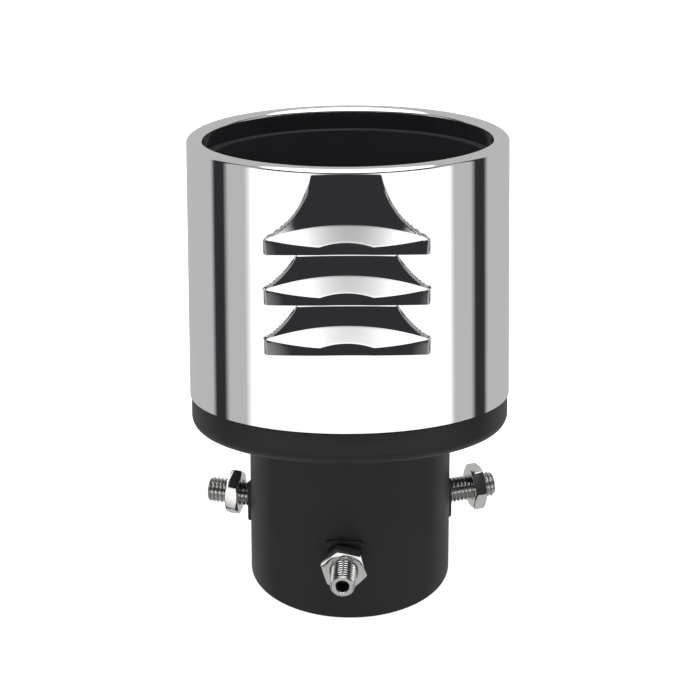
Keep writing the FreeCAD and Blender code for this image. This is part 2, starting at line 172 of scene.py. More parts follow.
class StageSettings(bpy.types.PropertyGroup):
    """Camera and studio."""
    turn: angle("Turn", "How far the camera stands round to the left of the front", 1.43)
    pitch: angle("Pitch", "How far the camera looks down", 29.59)
    aim_height: length("Aim height", "Height of the point that the camera looks at", 79.57)
    distance: length("Distance", "Distance from the camera to that point", 1272.6)
    lens: number("Lens", "Focal length of the camera", 208.77, subtype="DISTANCE_CAMERA")
    floor: colour("Floor", "Colour of the floor", 0.90, 0.90, 0.90)
    tent: colour("Tent", "Colour of the pale tent all round", 0.5, 0.5, 0.5)
    flag: colour("Flag", "Colour of the side flags and the dark gaps", 0.03, 0.03, 0.035)
    panel_half: angle("Panel half width", "How far the front panel reaches to each side", 75)
    panel_foot: angle("Panel foot", "Elevation of the front panel's lower edge", -15)
    panel_top: angle("Panel top", "Elevation of the front panel's upper edge", 10)
    dark_foot: angle("Dark foot", "Elevation where the dark gap under the panel ends", -25)
    dark_top: angle("Dark top", "Elevation where the dark gap over the panel ends", 50)
    flag_near: angle("Flag near", "Front edge of the flag at each side", 95)
    flag_far: angle("Flag far", "Rear edge of the flag at each side", 110)
    softbox_foot: angle("Softbox foot", "Elevation above which the softbox hangs", 50)
    soft_edge: angle("Soft edge", "Width over which each panel or flag fades out", 5)
    panel_strength: number("Panel strength", "Brightness of the front panel", 1.2, min=0)
    softbox_strength: number("Softbox strength", "Brightness of the softbox", 1.8, min=0)


def settings(name):
    return getattr(bpy.context.scene, name)


# ------------ modelling helpers

def pick(thing):
    """Select one object, and nothing else, and make it active."""
    bpy.ops.object.select_all(action="DESELECT")
    thing.select_set(True)
    bpy.context.view_layer.objects.active = thing


@contextmanager
def editing(thing):
    """Edit an object with everything in its mesh selected."""
    pick(thing)
    bpy.ops.object.mode_set(mode="EDIT")
    bpy.ops.mesh.select_all(action="SELECT")
    yield
    bpy.ops.object.mode_set(mode="OBJECT")


def select_only(thing, kind, wanted):
    """In edit mode, select the vertices, edges or faces for which wanted is true."""
    bpy.ops.mesh.select_all(action="DESELECT")
    mesh = bmesh.from_edit_mesh(thing.data)
    for item in getattr(mesh, kind):
        if wanted(item):
            item.select_set(True)
    bmesh.update_edit_mesh(thing.data)


def draw_wire(name, points, closed=False):
    """A line of edges through points, drawn by extruding one vertex from each to the next."""
    bpy.ops.object.select_all(action="DESELECT")
    bpy.ops.mesh.primitive_plane_add(size=1, location=(0, 0, 0))
    wire = bpy.context.active_object
    wire.name = wire.data.name = name
    with editing(wire):
        bpy.ops.mesh.merge(type="CENTER")
        bpy.ops.transform.translate(value=points[0])
        for start, end in zip(points, points[1:]):
            step = [b - a for a, b in zip(start, end)]
            bpy.ops.mesh.extrude_vertices_move(TRANSFORM_OT_translate={"value": step})
        if closed:
            select_only(wire, "verts", lambda vertex: len(vertex.link_edges) == 1)
            bpy.ops.mesh.edge_face_add()
            bpy.ops.mesh.select_all(action="SELECT")
    return wire


def section(outline, turn=0.0):
    """Points of an outline of (radius, height) in the upright plane at a turn about Z."""
    return [(radius * math.cos(turn), radius * math.sin(turn), height)
            for radius, height in outline]


def arc(centre, radius, first, last, steps):
    """Points (radius, height) round an arc, its two ends included.  Angles in degrees."""
    turns = [math.radians(first + (last - first) * i / steps) for i in range(steps + 1)]
    return [(centre[0] + radius * math.cos(a), centre[1] + radius * math.sin(a)) for a in turns]


def spread(low, high, most):
    """Evenly spaced numbers from low to just before high, no further apart than most."""
    count = max(1, math.ceil((high - low) / most - 1e-9))
    return [low + (high - low) * i / count for i in range(count)]


def tidy(thing):
    """Merge doubled vertices and point every face outwards."""
    with editing(thing):
        bpy.ops.mesh.remove_doubles(threshold=MERGE_GAP)
        bpy.ops.mesh.delete_loose(use_verts=True, use_edges=True)
        bpy.ops.mesh.select_all(action="SELECT")
        bpy.ops.mesh.normals_make_consistent(inside=False)


def lathe(name, outline, steps=180):
    """Closed solid of revolution about Z."""
    thing = draw_wire(name, section(outline), closed=True)
    with editing(thing):
        bpy.ops.mesh.spin(steps=steps, angle=2 * math.pi, center=(0, 0, 0), axis=(0, 0, 1))
    tidy(thing)
    return thing


def cylinder(radius, depth, vertices=48, **place):
    """Solid cylinder about Z through the origin, unless a place is given."""
    bpy.ops.object.select_all(action="DESELECT")
    bpy.ops.mesh.primitive_cylinder_add(vertices=vertices, radius=radius, depth=depth, **place)
    return bpy.context.active_object


def use_modifier(thing, kind, **values):
    """Add a modifier, set it and apply it."""
    pick(thing)
    modifier = thing.modifiers.new(kind.lower(), kind)
    for key, value in values.items():
        setattr(modifier, key, value)
    bpy.ops.object.modifier_apply(modifier=modifier.name)


def carve(thing, tool, operation="DIFFERENCE"):
    """Boolean with a tool, which is then thrown away."""
    before = len(thing.data.vertices)
    use_modifier(thing, "BOOLEAN", operation=operation, solver="EXACT", object=tool)
    if len(thing.data.vertices) in (0, before):
        raise RuntimeError(f"{tool.name} leaves {thing.name} as it was, or leaves nothing")
    bpy.data.objects.remove(tool)


def round_edges(thing, width, limit=40, segments=2):
    use_modifier(thing, "BEVEL", width=width, segments=segments, limit_method="ANGLE",
                 angle_limit=math.radians(limit), loop_slide=False)


def shade(thing, limit=38):
    pick(thing)
    bpy.ops.object.shade_smooth_by_angle(angle=math.radians(limit))


def settle(thing):
    """Put an object's place into its mesh."""
    pick(thing)
    bpy.ops.object.transform_apply(location=True, rotation=True, scale=True)


def lean_over(thing):
    """Lean a piece made upright over towards +Y, about the point where the axes meet."""
    sizes = settings("tip_sizes")
    thing.rotation_euler = (-sizes.lean, 0, 0)
    thing.location = (0, 0, sizes.lean_height)
    settle(thing)


def outward(side):
    """Direction from the neck's axis out along a side's screw, from the screw's own joint."""
    joint = next(j for j in frame["joints"] if j["child"] == f"screw_{side}")
    return -Vector(joint["axis"]).normalized()


def bore_radius():
    """Radius of every hole that a set screw goes through."""
    fasteners = settings("fastener_sizes")
    return fasteners.screw_radius + fasteners.thread_gap


def span_along(node, direction):
    """How far along a direction a CAD node reaches, nearest and furthest."""
    reach = [vertex.co @ direction for vertex in frame["nodes"][node].data.vertices]
    return min(reach), max(reach)


def aim_outwards(thing, side, reach, spin=0.0):
    """Turn a piece made along +Z so that it points away from the neck, its +Y up the neck."""
    out, up = outward(side), Vector((0, 0, 1))
    axes = Matrix((up.cross(out), up, out)).transposed().to_4x4()
    place = Matrix.Translation(out * reach + up * settings("fastener_sizes").axis_height)
    thing.matrix_world = place @ axes @ Matrix.Rotation(spin, 4, "Z")
    settle(thing)


def copy_of(pattern, name):
    copied = pattern.copy()
    copied.data = pattern.data.copy()
    copied.name = copied.data.name = name
    bpy.context.scene.collection.objects.link(copied)
    return copied


def hand_over(thing, body, node, slot):
    """Finish a piece: its finish, the body it rides on and the CAD node it stands for."""
    thing.data.materials.clear()
    thing.data.materials.append(finish(slot))
    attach(thing, body)
    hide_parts(node)


# ------------ shader helpers

def feed(tree, made, **values):
    """Set up a shader node.  A value is a setting, an input's constant or a socket to link.

    Inputs go by name, with _ for a space, or as _ and their number.
    """
    for key, value in values.items():
        if hasattr(made, key) and key not in made.inputs:
            setattr(made, key, value)
            continue
        socket = made.inputs[int(key[1:]) if key[0] == "_" else key.replace("_", " ")]
        if isinstance(value, bpy.types.NodeSocket):
            tree.links.new(value, socket)
        else:
            socket.default_value = value
    return made


def place_node(tree, kind, **values):
    return feed(tree, tree.nodes.new(kind), **values)


def remap(tree, value, low, high, to_low, to_high):
    return place_node(tree, "ShaderNodeMapRange", Value=value, From_Min=low, From_Max=high,
                      To_Min=to_low, To_Max=to_high).outputs["Result"]


def arithmetic(tree, operation, *values):
    inputs = {f"_{index}": value for index, value in enumerate(values)}
    return place_node(tree, "ShaderNodeMath", operation=operation, **inputs).outputs[0]


def noise(tree, vector, scale, detail=3.0, roughness=0.5):
    return place_node(tree, "ShaderNodeTexNoise", Vector=vector, Scale=scale, Detail=detail,
                      Roughness=roughness).outputs["Fac"]


def new_group(name, inputs, outputs):
    """An empty node group with named inputs and outputs."""
    group = bpy.data.node_groups.new(name, "ShaderNodeTree")
    for label, kind, default in inputs:
        socket = group.interface.new_socket(name=label, in_out="INPUT", socket_type=kind)
        if default is not None:
            socket.default_value = default
    for label, kind in outputs:
        group.interface.new_socket(name=label, in_out="OUTPUT", socket_type=kind)
    entry = group.nodes.new("NodeGroupInput")
    return group, entry, group.nodes.new("NodeGroupOutput")


def sheet_grain_group():
    """Fine grain and slow mottling of a painted or plated sheet."""
    group, entry, end = new_group(
        "sheet_grain",
        [("Vector", "NodeSocketVector", None), ("Grain Scale", "NodeSocketFloat", 1500.0),
         ("Mottle Scale", "NodeSocketFloat", 60.0)],
        [("Height", "NodeSocketFloat"), ("Mottle", "NodeSocketFloat")])
    fine = noise(group, entry.outputs["Vector"], entry.outputs["Grain Scale"], detail=2.0)
    slow = noise(group, entry.outputs["Vector"], entry.outputs["Mottle Scale"], detail=4.0,
                 roughness=0.6)
    feed(group, end, Height=fine, Mottle=remap(group, slow, 0.3, 0.7, 0.0, 1.0))
    return group


def handling_marks_group():
    """Sparse hairline marks, as left by wiping and handling."""
    group, entry, end = new_group(
        "handling_marks",
        [("Vector", "NodeSocketVector", None), ("Scale", "NodeSocketFloat", 90.0),
         ("Amount", "NodeSocketFloat", 0.1)],
        [("Mask", "NodeSocketFloat")])
    masks = []
    for tilt, stretch in ((0.5, 26.0), (-0.9, 18.0)):
        turned = place_node(group, "ShaderNodeMapping", Vector=entry.outputs["Vector"],
                            Rotation=(tilt, tilt * 0.4, tilt), Scale=(1.0, stretch, 1.0))
        lines = noise(group, turned.outputs["Vector"], entry.outputs["Scale"], detail=1.0)
        thin = arithmetic(group, "ABSOLUTE", arithmetic(group, "SUBTRACT", lines, 0.5))
        masks.append(remap(group, thin, 0.0, 0.012, 1.0, 0.0))
    patches = noise(group, entry.outputs["Vector"], 45.0)
    most = arithmetic(group, "MAXIMUM", masks[0], masks[1])
    sparse = arithmetic(group, "MULTIPLY", most, remap(group, patches, 0.5, 0.7, 0.0, 1.0))
    feed(group, end, Mask=arithmetic(group, "MULTIPLY", sparse, entry.outputs["Amount"]))
    return group


def shared_group(name):
    """A group is built once, on its first use."""
    builders = {"sheet_grain": sheet_grain_group, "handling_marks": handling_marks_group}
    return bpy.data.node_groups.get(name) or builders[name]()


def use_group(tree, name, **values):
    return place_node(tree, "ShaderNodeGroup", node_tree=shared_group(name), **values).outputs


def new_material(name):
    material = bpy.data.materials.new(name)
    material.use_nodes = True
    tree = material.node_tree
    shader = next(n for n in tree.nodes if n.type == "BSDF_PRINCIPLED")
    coordinates = tree.nodes.new("ShaderNodeTexCoord").outputs["Object"]
    return material, tree, shader, coordinates


def mix_colours(tree, mask, first, second):
    """Blend two colours, each a socket or a constant, by a mask."""
    first, second = (value if isinstance(value, bpy.types.NodeSocket) else (*value, 1)
                     for value in (first, second))
    return place_node(tree, "ShaderNodeMix", data_type="RGBA", _0=mask, _6=first,
                      _7=second).outputs[2]


def add_bump(tree, shader, height, distance, strength):
    bump = place_node(tree, "ShaderNodeBump", Height=height, Distance=distance, Strength=strength)
    feed(tree, shader, Normal=bump.outputs["Normal"])


def scaled(values, factor):
    return tuple(min(1.0, value * factor) for value in values)


def bright_plate():
    """Mirror-bright plating with a faint haze and a few wiping marks."""
    material, tree, shader, place = new_material("bright_plate_finish")
    base = settings("finish_colours").plate
    grain = use_group(tree, "sheet_grain", Vector=place, Grain_Scale=2600.0, Mottle_Scale=38.0)
    marks = use_group(tree, "handling_marks", Vector=place, Scale=150.0, Amount=0.5)
    haze = remap(tree, grain["Mottle"], 0.0, 1.0, 0.028, 0.05)
    feed(tree, shader, Metallic=1.0,
         Base_Color=mix_colours(tree, grain["Mottle"], base, scaled(base, 0.985)),
         Roughness=arithmetic(tree, "MULTIPLY_ADD", marks["Mask"], 0.06, haze))
    add_bump(tree, shader, grain["Mottle"], 0.004 * MM, 0.5)
    return material


def black_paint():
    """Satin black paint with a fine orange peel and slightly worn patches."""
    material, tree, shader, place = new_material("black_paint_finish")
    base = settings("finish_colours").paint
    grain = use_group(tree, "sheet_grain", Vector=place, Grain_Scale=1100.0, Mottle_Scale=42.0)
    marks = use_group(tree, "handling_marks", Vector=place, Scale=110.0, Amount=0.45)
    worn = arithmetic(tree, "MULTIPLY_ADD", marks["Mask"], 0.5, grain["Mottle"])
    feed(tree, shader, Specular_IOR_Level=0.36,
         Base_Color=mix_colours(tree, worn, base, scaled(base, 1.35)),
         Roughness=remap(tree, worn, 0.0, 1.2, 0.40, 0.50))
    add_bump(tree, shader, grain["Height"], 0.02 * MM, 0.35)
    return material


def liner_black():
    """Matt black heat paint, slightly sooty and uneven."""
    material, tree, shader, place = new_material("liner_black_finish")
    base = settings("finish_colours").soot
    grain = use_group(tree, "sheet_grain", Vector=place, Grain_Scale=700.0, Mottle_Scale=30.0)
    feed(tree, shader, Specular_IOR_Level=0.30,
         Base_Color=mix_colours(tree, grain["Mottle"], base, scaled(base, 1.6)),
         Roughness=remap(tree, grain["Mottle"], 0.0, 1.0, 0.62, 0.76))
    add_bump(tree, shader, grain["Height"], 0.03 * MM, 0.5)
    return material


def zinc_steel():
    """Bright zinc-plated steel, with painted shade that darkens the thread's roots and the socket.
    """
    material, tree, shader, place = new_material("zinc_steel_finish")
    base = settings("finish_colours").zinc
    grain = use_group(tree, "sheet_grain", Vector=place, Grain_Scale=2200.0, Mottle_Scale=260.0)
    marks = use_group(tree, "handling_marks", Vector=place, Scale=420.0, Amount=0.8)
    # painted shade: the groove attribute darkens the colour in the thread's roots and the socket
    groove = place_node(tree, "ShaderNodeAttribute", attribute_name="groove").outputs["Fac"]
    mottle_and_painted_shade = arithmetic(tree, "MULTIPLY_ADD", grain["Mottle"], 0.06, groove)
    polish = remap(tree, mottle_and_painted_shade, 0.0, 1.0, 0.11, 0.45)
    # the colour runs down to 4 % of the base where the painted shade is deepest, with a little
    # random mottle
    feed(tree, shader, Metallic=1.0,
         Base_Color=mix_colours(tree, mottle_and_painted_shade, base, scaled(base, 0.04)),
         Roughness=arithmetic(tree, "MULTIPLY_ADD", marks["Mask"], 0.10, polish))
    add_bump(tree, shader, grain["Height"], 0.008 * MM, 0.4)
    return material


FINISHES = {"bright_plate": bright_plate, "black_paint": black_paint,
            "liner_black": liner_black, "zinc_steel": zinc_steel}


def finish(name):
    """A finish is built once, on its first use."""
    return bpy.data.materials.get(f"{name}_finish") or FINISHES[name]()


# ------------ plated sleeve

FRONT = -90.0
# sectors in turn, each in degrees and steps: louvre sides are finer than louvre middles
SECTORS = ((21.5, 88), (21.0, 26), (21.5, 88), (296.0, 56))
# rows of vertices: on the louvres, on the plain wall near them and on the plain wall below
FINE_ROW, COARSE_ROW, WALL_ROW = 0.38 * MM, 0.62 * MM, 3.2 * MM
BLEND = 0.006 * MM
ON_LINE = 0.01 * MM
# how far the rows stay bent under the lowest lip and beside the lips
LEAD_IN, SIDE_FADE = 3 * MM, 3.5 * MM
# how closely columns follow the louvres' sides, and the height over which they return
FOLLOW_SHARE, FOLLOW_RETURN, FOLLOW_ROUNDS = 0.5, 9 * MM, 40
# the outline starts to narrow just under the corner, and its slant sets in over a little height
NARROW_LEAD, SLANT_HEIGHT = 0.35 * MM, 2 * MM
# shares of the lip that the arch and a crease's sharp part span, and how far short of the
# lip's end its slit stops
ARCH_SHARE, SHARP_SHARE, SLIT_STOP = 0.95, 0.88, 0.05 * MM
# height over which the rounding changes from the band's ends to the louvre's sides
ROUNDING_CHANGE = 2.5 * MM


def smooth_step(values):
    held = np.clip(values, 0, 1)
    return held * held * (3 - 2 * held)


def soft_least(*values):
    """Least of several numbers, rounded where they cross."""
    stacked = np.stack(values)
    least = stacked.min(0)
    return least - BLEND * np.log(np.exp((least - stacked) / BLEND).sum(0))


def lip_heights():
    louvres = settings("louvre_sizes")
    return [louvres.low + i * louvres.pitch for i in range(louvres.count)]


def louvre_edges(across):
    """Heights over the lip of the band's top edge and of the arched crease, at each place."""
    louvres = settings("louvre_sizes")
    arch = np.clip(1 - (across / (louvres.half_width * ARCH_SHARE)) ** 2, 0, 1)
    low = louvres.corner + (louvres.band - louvres.corner) * arch
    dome = louvres.dome * (1 - (across / louvres.dome_half) ** 2)
    band = -soft_least(-low, -dome)
    brow = louvres.corner + (louvres.brow - louvres.corner) * arch
    return band, brow


def roll_crown():
    """Radius of the crown between the roll's two corners, which it meets at 45 degrees."""
    sizes = settings("tip_sizes")
    return sizes.roll_corner + (sizes.roll - sizes.roll_corner) * math.sqrt(2)


def roll_height():
    """Height along the sleeve's axis at which its wall turns into the roll."""
    sizes = settings("tip_sizes")
    return sizes.sleeve_crest - roll_crown() + sizes.roll - sizes.roll_corner


def follow_louvres(across, height):
    """Move rows of vertices so that they run along the lips, bands and creases."""
    louvres = settings("louvre_sizes")
    share = np.clip(np.abs(across) / louvres.half_width, 0, 1)
    fade = 1 - smooth_step((np.abs(across) - louvres.half_width) / SIDE_FADE)
    band, brow = louvre_edges(across)
    start, top = louvres.low - LEAD_IN, roll_height()
    straight, followed = [start], [np.full_like(across, start)]
    for lip in lip_heights():
        droop = -louvres.droop * share ** 2
        for middle, here in ((0.0, 0.0), (louvres.band, band), (louvres.brow, brow)):
            straight.append(lip + middle)
            followed.append(lip + middle + fade * (droop + here - middle))
    straight.append(top)
    followed.append(np.full_like(across, top))
    straight, followed = np.array(straight), np.stack(followed)
    below = np.clip(np.searchsorted(straight, height, side="right") - 1, 0, len(straight) - 2)
    part = (height - straight[below]) / (straight[below + 1] - straight[below])
    column = np.arange(len(across))
    moved = followed[below, column] * (1 - part) + followed[below + 1, column] * part
    inside = (height > straight[0]) & (height < straight[-1])
    return np.where(inside, moved, height)


def outline_at(over_lip, flare):
    """Half width of a louvre at a height over its lip, and how fast that half width shrinks."""
    louvres = settings("louvre_sizes")
    over_corner = np.clip(over_lip - louvres.corner + NARROW_LEAD, 0, None)
    spare = (louvres.half_width - louvres.crown_half) * np.exp(-over_corner / flare)
    return louvres.crown_half + spare, spare / flare * smooth_step(over_corner / SLANT_HEIGHT)


def follow_outline(across, height, low, roof_top, flare):
    """Move columns of vertices part of the way to lines that run along the louvres' sides.

    low is the lip that a vertex belongs to.  The columns are back in place at roof_top, where
    the next louvre or the roll begins.
    """
    louvres, sizes = settings("louvre_sizes"), settings("tip_sizes")
    edge = sizes.sleeve_radius * math.sin(math.radians(sum(d for d, _ in SECTORS[:3]) / 2))
    start, half = np.abs(across), louvres.half_width
    returned = smooth_step((height - low - roof_top + FOLLOW_RETURN) / FOLLOW_RETURN)
    hold = FOLLOW_SHARE * (1 - returned)
    moved = start.copy()
    for _ in range(FOLLOW_ROUNDS):
        over_lip = (follow_louvres(moved, height) - low
                    + louvres.droop * np.clip(moved / half, 0, 1) ** 2)
        outline = outline_at(over_lip, flare)[0]
        beyond = outline + (start - half) / (edge - half) * (edge - outline)
        wanted = np.where(start <= half, start / half * outline,
                          np.where(start < edge, beyond, start))
        moved = (moved + start + hold * (wanted - start)) / 2
    return np.sign(across) * moved


def press_depth(across, over_lip, roof_top, roof_start, flare):
    """How far the sheet stands out at a height over its own louvre's lip."""
    louvres = settings("louvre_sizes")
    band, brow = louvre_edges(across)
    rise = (louvres.proud - roof_start) / (roof_top - brow)
    roof = np.maximum(louvres.proud - (over_lip - brow) * rise, roof_start)
    lens = louvres.proud + (brow - over_lip) * math.tan(louvres.lens_tilt)
    lowest = louvres.proud + (brow - band) * math.tan(louvres.lens_tilt)
    lip_band = lowest - (band - over_lip) * math.tan(louvres.band_tilt)
    face = soft_least(roof, lens, lip_band)
    outline, slant = outline_at(over_lip, flare)
    inside = (outline - np.abs(across)) / np.sqrt(1 + slant ** 2)
    upper = smooth_step((over_lip - louvres.corner + MM) / ROUNDING_CHANGE)
    rounding = louvres.end_round + (louvres.fillet - louvres.end_round) * upper
    return face * smooth_step(inside / rounding)


def runs_along(edge, heights, half_width):
    """Whether an edge at the front lies along one of some heights, within a half width."""
    return any(all(abs(vertex.co.z - height) < ON_LINE and abs(vertex.co.x) < half_width
                   and vertex.co.y < 0 for vertex in edge.verts) for height in heights)


def press_louvres(sleeve):
    """Slit the sheet along each lip, crease it and press the louvres out of it."""
    louvres, sizes = settings("louvre_sizes"), settings("tip_sizes")
    lips = lip_heights()
    creases = [lip + rise for lip in lips for rise in (louvres.band, louvres.brow)]
    with editing(sleeve):
        bpy.context.tool_settings.mesh_select_mode = (False, True, False)
        select_only(sleeve, "edges", lambda edge: runs_along(
            edge, creases, louvres.half_width * SHARP_SHARE))
        bpy.ops.mesh.mark_sharp()
        select_only(sleeve, "edges", lambda edge: runs_along(
            edge, lips, louvres.half_width - SLIT_STOP))
        bpy.ops.mesh.edge_split(type="EDGE")
        bpy.context.tool_settings.mesh_select_mode = (True, False, False)
    mesh = bmesh.new()
    mesh.from_mesh(sleeve.data)
    vertices = [v for v in mesh.verts if v.co.y < 0 and abs(v.co.xy.length - sizes.sleeve_radius)
                < ON_LINE and abs(v.co.x) < louvres.half_width + 4 * MM]
    across = np.array([v.co.x for v in vertices])
    height = np.array([v.co.z for v in vertices])
    faces_over = np.array([sum(f.calc_center_median().z for f in v.link_faces) / len(v.link_faces)
                           for v in vertices])
    # a vertex on a slit belongs to the louvre over it or to the sheet under it
    level = height + np.where(faces_over > height, 1, -1) * ON_LINE
    owner = np.searchsorted(np.array(lips), level) - 1
    radius = np.full(len(vertices), sizes.sleeve_radius)
    for index, lip in enumerate(lips):
        last, own = index == len(lips) - 1, owner == index
        end = roll_height() - lip if last else louvres.pitch
        flare = louvres.top_flare if last else louvres.flare
        across[own] = follow_outline(across[own], height[own], lip, end, flare)
        share = np.clip(np.abs(across[own]) / louvres.half_width, 0, 1)
        over_lip = follow_louvres(across[own], height[own]) - lip + louvres.droop * share ** 2
        radius[own] += press_depth(across[own], over_lip, end if last else end - louvres.rest,
                                   0.0 if last else louvres.tuck, flare)
    followed = follow_louvres(across, height)
    for vertex, reach, x, z in zip(vertices, radius, across, followed):
        turn = math.asin(x / sizes.sleeve_radius)
        vertex.co = (reach * math.sin(turn), -reach * math.cos(turn), z)
    mesh.to_mesh(sleeve.data)
    mesh.free()


class TIP_OT_outer_sleeve(bpy.types.Operator):
    """Plated sleeve: an open sheet with a rolled mouth and pressed louvres, then thickened"""
    bl_idname = "tip.outer_sleeve"
    bl_label = "Outer sleeve"

    def execute(self, context):
        sizes, louvres = settings("tip_sizes"), settings("louvre_sizes")
        top = roll_height()
        levels = [louvres.low - LEAD_IN]
        heights = spread(sizes.sleeve_low, levels[0], WALL_ROW)
        for lip in lip_heights():
            levels += [lip, lip + louvres.band, lip + louvres.brow]
        levels.append(top)
        for low, high in zip(levels, levels[1:]):
            plain = low == levels[0] or high == top
            heights += spread(low, high, COARSE_ROW if plain else FINE_ROW)
        outline = [(sizes.sleeve_radius, height) for height in heights]
        corner, middle = sizes.roll_corner, sizes.sleeve_radius - sizes.roll
        skirt = middle - sizes.roll
        outline += arc((sizes.sleeve_radius - corner, top), corner, 0, 45, 7)
        outline += arc((middle, sizes.sleeve_crest - roll_crown()), roll_crown(), 45, 135, 14)[1:]
        outline += arc((skirt + corner, top), corner, 135, 180, 7)[1:]
        outline += [(skirt, top - 2 * MM), (skirt, sizes.skirt_low)]
        start = math.radians(FRONT - sum(degrees for degrees, _ in SECTORS[:3]) / 2)
        sleeve = draw_wire("outer_sleeve_shell", section(outline, start))
        with editing(sleeve):
            for degrees, steps in SECTORS:
                bpy.ops.mesh.spin(steps=steps, angle=-math.radians(degrees), center=(0, 0, 0),
                                  axis=(0, 0, 1))
        tidy(sleeve)
        press_louvres(sleeve)
        use_modifier(sleeve, "SOLIDIFY", thickness=sizes.sleeve_wall, offset=-1.0)
        shade(sleeve, 50)
        sleeve.rotation_euler = (0, 0, -louvres.turn)
        settle(sleeve)
        lean_over(sleeve)
        hand_over(sleeve, "tip", "outer_sleeve", "bright_plate")
        return {"FINISHED"}


# ------------ cap, neck, weld and liner

THROUGH = 200 * MM
TUBE_ROW = 12 * MM


class TIP_OT_rear_cap(bpy.types.Operator):
    """Black cap: floor with a hole for the neck, rounded corner, band and joggle"""
    bl_idname = "tip.rear_cap"
    bl_label = "Rear cap"

    def execute(self, context):
        sizes = settings("tip_sizes")
        outer, inner = sizes.cap_radius, sizes.cap_radius - sizes.cap_wall
        middle = (outer - sizes.cap_corner, sizes.cap_low + sizes.cap_corner)
        edge = 0.25 * MM
        outline = [(sizes.neck_radius / 2, sizes.cap_low)]
        outline += arc(middle, sizes.cap_corner, -90, 0, 14)
        outline += arc((outer - edge, sizes.cap_shoulder - edge), edge, 0, 90, 4)
        outline += [(outer - sizes.cap_joggle, sizes.cap_shoulder),
                    (outer - sizes.cap_joggle, sizes.cap_top),
                    (inner - sizes.cap_joggle, sizes.cap_top),
                    (inner - sizes.cap_joggle, sizes.cap_shoulder - sizes.cap_wall),
                    (inner, sizes.cap_shoulder - sizes.cap_wall)]
        outline += arc(middle, sizes.cap_corner - sizes.cap_wall, 0, -90, 10)
        outline += [(sizes.neck_radius / 2, sizes.cap_low + sizes.cap_wall)]
        cap = lathe("rear_cap_shell", outline, steps=200)
        lean_over(cap)
        carve(cap, cylinder(sizes.neck_radius, THROUGH, vertices=180))
        shade(cap)
        hand_over(cap, "tip", "rear_cap", "black_paint")
        return {"FINISHED"}


class TIP_OT_inlet_neck(bpy.types.Operator):
    """Clamp neck: a tube with eased edges, cut off above the cap's floor and drilled"""
    bl_idname = "tip.inlet_neck"
    bl_label = "Inlet neck"

    def execute(self, context):
        sizes = settings("tip_sizes")
        outer, inner = sizes.neck_radius, sizes.neck_radius - sizes.neck_wall
        edge, lip, blank = 0.5 * MM, 0.2 * MM, 80 * MM
        outline = arc((inner + lip, lip), lip, 180, 270, 3)
        outline += arc((outer - edge, edge), edge, -90, 0, 6)
        outline += [(outer, height) for height in spread(10 * MM, blank + 2 * MM, TUBE_ROW)]
        outline += [(outer, blank), (inner, blank)]
        outline += [(inner, height) for height in spread(10 * MM, blank, TUBE_ROW)[:0:-1]]
        neck = lathe("inlet_neck_tube", outline, steps=200)
        reach = sizes.cap_low + sizes.cap_wall + sizes.neck_stub
        normal = Vector((0, math.sin(sizes.lean), math.cos(sizes.lean)))
        with editing(neck):
            bpy.ops.mesh.bisect(plane_co=Vector((0, 0, sizes.lean_height)) + normal * reach,
                                plane_no=normal, use_fill=True, clear_outer=True)
        tidy(neck)
        for side in SIDES:
            drill = cylinder(bore_radius(), 20 * MM)
            aim_outwards(drill, side, sizes.neck_radius)
            carve(neck, drill)
        shade(neck)
        hand_over(neck, "tip", "inlet_neck", "black_paint")
        return {"FINISHED"}


class TIP_OT_neck_weld(bpy.types.Operator):
    """Weld bead that follows the leaning floor round the neck, with the ripples of its run"""
    bl_idname = "tip.neck_weld"
    bl_label = "Neck weld"

    def execute(self, context):
        sizes = settings("tip_sizes")
        leg, inner = sizes.weld_leg, sizes.neck_radius - 0.1 * MM
        outline = [(inner, 0.1 * MM), (inner, -leg)]
        outline += arc((inner + leg, -leg), leg, 180, 90, 8)[1:]
        outline += [(inner + leg, 0.1 * MM)]
        weld, ripples = lathe("neck_weld_bead", outline, steps=420), 92
        floor = sizes.lean_height + sizes.cap_low / math.cos(sizes.lean)
        for vertex in weld.data.vertices:
            point = vertex.co
            turn = math.atan2(point.y, point.x)
            bulge = max(0.0, point.xy.length - inner) / leg * -min(0.0, point.z) / leg
            wave = 0.5 + 0.5 * math.cos(ripples * turn + 2.2 * point.z / leg)
            swell = 1 + 0.9 * bulge * (0.55 + 0.45 * wave)
            away = inner + (point.xy.length - inner) * swell
            point.x, point.y = away * math.cos(turn), away * math.sin(turn)
            point.z = point.z * swell + floor - point.y * math.tan(sizes.lean)
        shade(weld, 60)
        hand_over(weld, "tip", "neck_weld", "black_paint")
        return {"FINISHED"}


class TIP_OT_inner_liner(bpy.types.Operator):
    """Inner tube with eased ends"""
    bl_idname = "tip.inner_liner"
    bl_label = "Inner liner"

    def execute(self, context):
        sizes = settings("tip_sizes")
        outer, inner = sizes.liner_radius, sizes.liner_radius - sizes.liner_wall
        low, top, edge = sizes.cap_low + sizes.cap_wall, sizes.liner_top, 0.45 * MM
        outline = [(inner, low), (outer, low)]
        rows = spread(low + TUBE_ROW, top - TUBE_ROW / 2, TUBE_ROW)
        outline += [(outer, height) for height in rows]
        outline += arc((outer - edge, top - edge), edge, 0, 90, 5)
        outline += arc((inner + edge, top - edge), edge, 90, 180, 5)
        outline += [(inner, height) for height in reversed(rows)]
        liner = lathe("inner_liner_tube", outline, steps=200)
        shade(liner)
        lean_over(liner)
        hand_over(liner, "tip", "inner_liner", "liner_black")
        return {"FINISHED"}


# ------------ pads, screws and nuts

